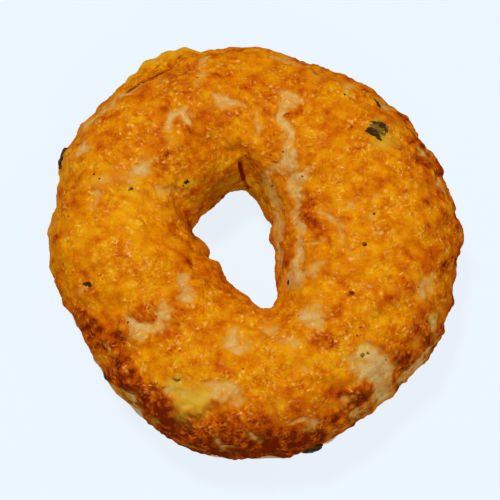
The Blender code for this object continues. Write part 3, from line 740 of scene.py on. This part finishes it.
def makeSpecks(finder):
    # flat little balls, a little sunk in the crust: the placed ones, then others strewn by angle and turn
    draw = np.random.default_rng(11)
    places = [(np.array(place[:3]) * mm, place[3] * mm) for place in specks["places"]]
    angle = draw.uniform(0, math.tau, specks["strewn"])
    turn = draw.uniform(math.radians(-20), math.radians(200), specks["strewn"])
    strewn = ringForm(angle, turn) - ring["middle"]
    places += list(zip(strewn, draw.uniform(*specks["widths"], specks["strewn"])))
    spin, fall = ballGrid(specks["columns"], specks["rows"])
    flat = specks["flatness"] * np.cos(fall)
    ball = np.column_stack([np.cos(spin) * np.sin(fall), np.sin(spin) * np.sin(fall), flat])
    balls = []
    for place, width in places:
        shape = 0.5 * width * ball * np.array([1.0, draw.uniform(specks["narrowest"], 1), 1.0])
        balls.append(seated(shape, finder, place, draw.uniform(0, math.pi), specks["lift"] * width))
    return ballsPiece("jalapeno_specks", balls, specks, {"flesh": np.zeros(len(balls) * len(ball))})


# Finishes

def paint(red, green, blue):
    # a colour as seen on a screen, 0 to 255, as the light that Blender works in
    part = np.array([red, green, blue]) / 255
    light = np.where(part <= 0.04045, part / 12.92, ((part + 0.055) / 1.055) ** 2.4)
    return (*light.tolist(), 1)


def addNode(tree, kind, sockets=None, **settings):
    # a shader node with these settings, whose sockets take another node's output or a plain value
    made = tree.nodes.new("ShaderNode" + kind)
    for name, value in settings.items():
        setattr(made, name, value)
    for name, value in (sockets or {}).items():
        if isinstance(value, bpy.types.NodeSocket):
            tree.links.new(value, made.inputs[name])
        else:
            made.inputs[name].default_value = value
    return made


def combine(tree, operation, a, b, clamp=False):
    # two numbers joined by an operation such as ADD, kept within 0 and 1 where clamp says so
    return addNode(tree, "Math", {0: a, 1: b}, operation=operation, use_clamp=clamp).outputs[0]


def times(tree, a, b):
    # the product of two numbers
    return combine(tree, "MULTIPLY", a, b)


def blendColour(tree, factor, a, b, way="MIX"):
    # the colour a where the factor is 0 and b where it is 1
    return addNode(tree, "Mix", {"Factor": factor, 6: a, 7: b}, data_type="RGBA", blend_type=way).outputs[2]


def span(tree, value, low, high, toLow, toHigh, way="LINEAR"):
    # toLow where the value is at or below low, toHigh at or above high, and a ramp between
    names = ("Value", "From Min", "From Max", "To Min", "To Max")
    given = dict(zip(names, (value, low, high, toLow, toHigh)))
    return addNode(tree, "MapRange", given, interpolation_type=way).outputs[0]


def noiseNode(tree, place, scale, detail, roughness=0.5, distortion=0.0):
    # a noise about 0.5, with more octaves where the detail is higher
    given = {"Vector": place, "Scale": scale, "Detail": detail, "Roughness": roughness,
             "Distortion": distortion}
    return addNode(tree, "TexNoise", given).outputs["Fac"]


def newGroup(name, inputs, outputs):
    # an empty node group, with its input node and its output node; its outputs are numbers, but for Colour
    group = bpy.data.node_groups.new(name, "ShaderNodeTree")
    for socket, kind in inputs.items():
        group.interface.new_socket(socket, in_out="INPUT", socket_type="NodeSocket" + kind)
    for socket in outputs:
        kind = "Color" if socket == "Colour" else "Float"
        group.interface.new_socket(socket, in_out="OUTPUT", socket_type="NodeSocket" + kind)
    return group, group.nodes.new("NodeGroupInput"), group.nodes.new("NodeGroupOutput")


# between which levels of toast each colour comes in over the last
ovenSteps = {"Golden": (0.0, 0.38), "Browned": (0.38, 0.72), "Charred": (0.72, 1.0)}


def ovenGroup():
    # four colours from raw to charred, each blended over the last as the spot is more toasted
    inputs = {"Toast": "Float", "Raw": "Color"} | dict.fromkeys(ovenSteps, "Color")
    group, given, out = newGroup("oven_browning", inputs, ["Colour"])
    colour = given.outputs["Raw"]
    for name, (low, high) in ovenSteps.items():
        share = span(group, given.outputs["Toast"], low, high, 0, 1)
        colour = blendColour(group, share, colour, given.outputs[name])
    group.links.new(colour, out.inputs["Colour"])
    return group


def grainGroup():
    # fine grain of a baked surface from two noises: their sum less 1 as a mask, and as a height the
    # coarse one and a share of the fine one
    inputs = {"Position": "Vector", "Scale": "Float", "Fine Scale": "Float", "Fine Share": "Float"}
    group, given, out = newGroup("baked_grain", inputs, ["Mask", "Height"])
    coarse = noiseNode(group, given.outputs["Position"], given.outputs["Scale"], 1.0)
    fine = noiseNode(group, given.outputs["Position"], given.outputs["Fine Scale"], 2.0)
    finer = times(group, fine, given.outputs["Fine Share"])
    group.links.new(combine(group, "ADD", coarse, finer), out.inputs["Height"])
    group.links.new(combine(group, "SUBTRACT", combine(group, "ADD", coarse, fine), 1.0), out.inputs["Mask"])
    return group


# how far bubbles and shreds reach, and between which values glints and patches come in
meltedForm = {
    "domeReach": 0.5, "bend": 1.5, "shredReach": 0.16,
    "glintAcross": (0.015, 0.1), "glintDome": (0.08, 0.5),
    "patch": (0.4, 0.6), "glintPatch": (0.42, 0.58), "leastRaised": 0.15,
}


def meltedGroup():
    # what melted cheese shows, gathered in patches where a slow noise is high: round bubbles, each 1 at its
    # middle and smoothly 0 at its edge, rounded shreds along the middle value of a bent noise, and short
    # painted glints where the very middle of a shred crosses a bubble
    inputs = {"Position": "Vector", "Bubble Scale": "Float", "Shred Scale": "Float", "Patch Scale": "Float"}
    group, given, out = newGroup("melted_cheese", inputs, ["Raised", "Glint"])
    place, form = given.outputs["Position"], meltedForm
    cells = addNode(group, "TexVoronoi", {"Vector": place, "Scale": given.outputs["Bubble Scale"]})
    dome = span(group, cells.outputs["Distance"], 0, form["domeReach"], 1, 0, "SMOOTHSTEP")
    bent = noiseNode(group, place, given.outputs["Shred Scale"], 0.0, distortion=form["bend"])
    away = combine(group, "ABSOLUTE", combine(group, "SUBTRACT", bent, 0.5), 0.0)
    shred = span(group, away, 0, form["shredReach"], 1, 0, "SMOOTHSTEP")
    glintStroke = span(group, away, *form["glintAcross"], 1, 0)
    glintStroke = times(group, glintStroke, span(group, dome, *form["glintDome"], 0, 1))
    slow = noiseNode(group, place, given.outputs["Patch Scale"], 1.5)
    patch = span(group, slow, *form["patch"], form["leastRaised"], 1)
    group.links.new(times(group, combine(group, "MAXIMUM", dome, shred), patch), out.inputs["Raised"])
    group.links.new(times(group, glintStroke, span(group, slow, *form["glintPatch"], 0, 1)), out.inputs["Glint"])
    return group


def oilGroup():
    # patches of oil: roughness runs from low on the film to high between, and the coat follows it
    inputs = {"Position": "Vector", "Scale": "Float", "Low": "Float", "High": "Float"}
    group, given, out = newGroup("oil_film", inputs, ["Roughness", "Film"])
    patch = noiseNode(group, given.outputs["Position"], given.outputs["Scale"], 4.0, 0.65)
    film = span(group, patch, 0.35, 0.55, 0, 1)
    rough = span(group, film, 0, 1, given.outputs["High"], given.outputs["Low"])
    group.links.new(rough, out.inputs["Roughness"])
    group.links.new(film, out.inputs["Film"])
    return group


def useGroup(tree, group, sockets):
    # a node that runs the group on these sockets
    return addNode(tree, "Group", sockets, node_tree=group)


def markOf(tree, name):
    # one of the marks that meshPiece stored in the mesh
    return addNode(tree, "Attribute", attribute_name=name, attribute_type="GEOMETRY").outputs["Fac"]


def newMaterial(name, fixed):
    # a material whose shader has these fixed values, and the object's own coordinates
    material = bpy.data.materials.new(name)
    material.use_nodes = True
    tree = material.node_tree
    shader = tree.nodes["Principled BSDF"]
    for socket, value in fixed.items():
        shader.inputs[socket].default_value = value
    return material, tree, shader, addNode(tree, "TexCoord").outputs["Object"]


# Each span gives what a value starts and ends at, then what share it makes there
cheddarFinish = {
    "raw": paint(244, 174, 16), "golden": paint(226, 134, 6),
    "browned": paint(196, 86, 5), "charred": paint(118, 35, 6),
    "grainScale": 420.0, "fineGrainScale": 1800.0, "fineShare": 0.06, "bump": 0.0008, "grainShare": 0.45,
    "bubbleScale": 700.0, "shredScale": 420.0, "patchScale": 170.0, "raisedHeight": 0.00012,
    "raisedTint": 0.24,
    # over that, from thick cheese to thin: the fringe, the thin and the palest colour, mottled by grain
    "thinGrain": 1.5,
    "fringe": paint(226, 160, 48), "fringeSpan": (0, 0.5, 0, 0.6),
    "thin": paint(220, 181, 110), "thinSpan": (0.25, 1, 0, 0.92),
    "palest": paint(244, 208, 152), "palestSpan": (0.8, 1.3, 0, 0.7),
    "green": paint(234, 200, 52), "greenShare": 0.55,
    # the colour that painted shade and jalapeno tint multiply in
    "shadeAndTint": (0.74, 0.9, 0.6, 1),
    # glints are painted highlights, more by height in metres and fewer by toast
    "glint": paint(255, 204, 112),
    "glintHeights": (0.023, 0.032, 0.15, 0.72), "glintToast": (0.5, 0.9, 1, 0.5),
    "oilScale": 300.0, "oilRoughness": (0.15, 0.35),
    "coat": 0.06, "oilyHeights": (0.028, 0.034), "dryRoughness": 0.95,
    "fixed": {"Specular IOR Level": 0.0, "Coat Roughness": 0.14},
}
doughFinish = {
    "raw": paint(222, 180, 122), "golden": paint(200, 142, 78),
    "browned": paint(138, 78, 34), "charred": paint(78, 40, 18),
    "grainScale": 700.0, "fineGrainScale": 2400.0, "fineShare": 1.0, "bump": 0.00015, "grainShare": 0.22,
    "oilScale": 260.0, "oilRoughness": (0.5, 0.68),
    "fixed": {"Specular IOR Level": 0.1},
}
jalapenoFinish = {
    "skin": paint(56, 32, 6), "olive": paint(92, 66, 14), "flesh": paint(138, 108, 38),
    "oliveSpan": (-0.1, 0.25, 0, 1), "fleshSpan": (0.15, 0.85, 0, 1),
    "grainScale": 900.0, "fineGrainScale": 3000.0, "fineShare": 0.5, "bump": 0.00012,
    "oilScale": 500.0, "oilRoughness": (0.18, 0.45),
    "fixed": {"Coat Weight": 0.05, "Coat Roughness": 0.2, "Specular IOR Level": 0.06},
}
speckFinish = jalapenoFinish | {"skin": paint(104, 42, 8), "olive": paint(122, 72, 22)}


def surfaceDetail(tree, shader, position, finish, groups):
    # grain as a bump and oil as roughness, the same way on every finish
    grain = useGroup(tree, groups["grain"], {"Position": position, "Scale": finish["grainScale"],
                                             "Fine Scale": finish["fineGrainScale"],
                                             "Fine Share": finish["fineShare"]})
    low, high = finish["oilRoughness"]
    oil = useGroup(tree, groups["oil"], {"Position": position, "Scale": finish["oilScale"],
                                         "Low": low, "High": high})
    bump = addNode(tree, "Bump", {"Height": grain.outputs["Height"], "Distance": finish["bump"]})
    tree.links.new(bump.outputs["Normal"], shader.inputs["Normal"])
    tree.links.new(oil.outputs["Roughness"], shader.inputs["Roughness"])
    return grain.outputs["Mask"], oil.outputs["Roughness"], oil.outputs["Film"], bump.outputs["Normal"]


def ovenColour(tree, toast, finish, groups):
    # the finish's own colour for this much toast
    colours = {name: finish[name.lower()] for name in ["Raw", *ovenSteps]}
    return useGroup(tree, groups["oven"], {"Toast": toast} | colours).outputs["Colour"]


def cheddarMaterial(groups):
    # bubbles and shreds stand up and are a little paler than the rest. The colour by toast is blended
    # with those of thin cheese, of jalapeno below and of painted glints, and then darkened by painted
    # shade and jalapeno tint. Oil lies high up
    finish = cheddarFinish
    material, tree, shader, position = newMaterial("toasted_cheddar", finish["fixed"])
    grain, rough, film, normal = surfaceDetail(tree, shader, position, finish, groups)
    melted = useGroup(tree, groups["melted"], {"Position": position, "Bubble Scale": finish["bubbleScale"],
                                               "Shred Scale": finish["shredScale"],
                                               "Patch Scale": finish["patchScale"]})
    thin = markOf(tree, "thin")
    full = times(tree, melted.outputs["Raised"], combine(tree, "SUBTRACT", 1.0, thin, True))
    raised = addNode(tree, "Bump", {"Height": full, "Distance": finish["raisedHeight"], "Normal": normal})
    tree.links.new(raised.outputs["Normal"], shader.inputs["Normal"])
    height = addNode(tree, "SeparateXYZ", {"Vector": position}).outputs["Z"]
    coat = times(tree, span(tree, height, *finish["oilyHeights"], 0, finish["coat"]), film)
    tree.links.new(coat, shader.inputs["Coat Weight"])
    dry = span(tree, height, *finish["oilyHeights"], finish["dryRoughness"], 0)
    tree.links.new(combine(tree, "MAXIMUM", rough, dry), shader.inputs["Roughness"])
    paler = times(tree, melted.outputs["Raised"], finish["raisedTint"])
    toast = combine(tree, "SUBTRACT", markOf(tree, "toast"), paler)
    toast = combine(tree, "ADD", toast, times(tree, grain, finish["grainShare"]), True)
    colour = ovenColour(tree, toast, finish, groups)
    thinGrain = times(tree, times(tree, grain, thin), finish["thinGrain"])
    mottled = combine(tree, "ADD", thin, thinGrain, True)
    for name in ("fringe", "thin", "palest"):
        colour = blendColour(tree, span(tree, mottled, *finish[name + "Span"]), colour, finish[name])
    green = times(tree, markOf(tree, "green"), finish["greenShare"])
    colour = blendColour(tree, green, colour, finish["green"])
    # painted highlights: cream glints blended into the base colour
    bright = times(tree, melted.outputs["Glint"], span(tree, height, *finish["glintHeights"]))
    bright = times(tree, bright, span(tree, toast, *finish["glintToast"]))
    colour = blendColour(tree, bright, colour, finish["glint"])
    # painted shade and jalapeno tint multiply the colour darker
    colour = blendColour(tree, markOf(tree, "shadeAndTint"), colour, finish["shadeAndTint"], "MULTIPLY")
    tree.links.new(colour, shader.inputs["Base Color"])
    return material


def doughMaterial(groups):
    # the colour by toast, varied by the grain
    finish = doughFinish
    material, tree, shader, position = newMaterial("baked_dough", finish["fixed"])
    grain, *_ = surfaceDetail(tree, shader, position, finish, groups)
    toast = combine(tree, "ADD", markOf(tree, "toast"), times(tree, grain, finish["grainShare"]), True)
    tree.links.new(ovenColour(tree, toast, finish, groups), shader.inputs["Base Color"])
    return material


def jalapenoMaterial(name, finish, groups):
    # dark skin that turns olive by the grain, and pale flesh where the mark says so
    material, tree, shader, position = newMaterial(name, finish["fixed"])
    grain, *_ = surfaceDetail(tree, shader, position, finish, groups)
    colour = blendColour(tree, span(tree, grain, *finish["oliveSpan"]), finish["skin"], finish["olive"])
    flesh = span(tree, markOf(tree, "flesh"), *finish["fleshSpan"])
    tree.links.new(blendColour(tree, flesh, colour, finish["flesh"]), shader.inputs["Base Color"])
    return material


# Studio

studio = {
    "floorReach": 6, "floorDrop": 0.05 * mm,
    "floor": {"Base Color": paint(80, 92, 114), "Roughness": 0.9, "Specular IOR Level": 0.1,
              "Emission Color": paint(238, 247, 255), "Emission Strength": 0.9},
    "world": {"Color": paint(243, 248, 255), "Strength": 0.24},
    "camera": {"elevation": math.radians(77), "distance": 0.41, "lens": 110,
               "target": Vector((-0.0015, 0.0001, 0.016))},
    "lampColour": (1, 0.89, 0.69),
    "lamps": {                         # place in metres, width, watts
        "key": ((-0.15, 0.2, 0.75), 0.12, 3.25),
        "right": ((0.4, 0.1, 0.6), 0.08, 0.6),
        "front": ((0.1, -0.5, 0.6), 0.08, 0.7),
    },
}


def makeStudio():
    # a wide glowing floor just below the base, round lamps that face the bagel, and the photo's view
    world = bpy.context.scene.world or bpy.data.worlds.new("studio")
    bpy.context.scene.world = world
    world.use_nodes = True
    for socket, value in studio["world"].items():
        world.node_tree.nodes["Background"].inputs[socket].default_value = value
    corners = np.array([(-1, -1, 0), (1, -1, 0), (1, 1, 0), (-1, 1, 0)]) * studio["floorReach"]
    floor = meshPiece("floor", corners - np.array([0, 0, studio["floorDrop"]]), [[0, 1, 2, 3]])
    material, *_ = newMaterial("floor_card", studio["floor"])
    floor.data.materials.append(material)
    for name, (place, width, power) in studio["lamps"].items():
        lamp = bpy.data.lights.new(name, "AREA")
        lamp.shape, lamp.size, lamp.energy, lamp.color = "DISK", width, power, studio["lampColour"]
        holder = newObject(name, lamp)
        holder.location = place
        holder.rotation_euler = (-Vector(place)).to_track_quat("-Z", "Y").to_euler()
    view = studio["camera"]
    camera = newObject("camera", bpy.data.cameras.new("camera"))
    camera.data.lens = view["lens"]
    back = Vector((0, -math.cos(view["elevation"]), math.sin(view["elevation"])))
    camera.location = view["target"] + view["distance"] * back
    camera.rotation_euler = (-back).to_track_quat("-Z", "Y").to_euler()
    bpy.context.scene.camera = camera
    bpy.context.scene.view_settings.view_transform = "Standard"


# Making it all

groups = {"oven": ovenGroup(), "grain": grainGroup(), "oil": oilGroup(), "melted": meltedGroup()}
cheddarPaint, doughPaint = cheddarMaterial(groups), doughMaterial(groups)
jalapenoPaint = jalapenoMaterial("charred_jalapeno", jalapenoFinish, groups)
speckPaint = jalapenoMaterial("charred_specks", speckFinish, groups)

print("dough")
pieces = [(makeDough(), doughPaint, "dough")]
print("cheddar")
bands = makeCheddar()
pieces += [(band, cheddarPaint, "crust") for band in bands]
pieces.append((makeTongue(), cheddarPaint, "crust"))
print("jalapeno")
finder = surfaceFinder([piece for piece, _, slotName in pieces if slotName == "crust"])
pieces += [(makeJalapeno(finder), jalapenoPaint, "jalapeno"), (makeSpecks(finder), speckPaint, "jalapeno")]
for piece, finish, slotName in pieces:
    piece.data.materials.append(finish)
    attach(piece, "root")
    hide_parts(node)
print("studio")
makeStudio()
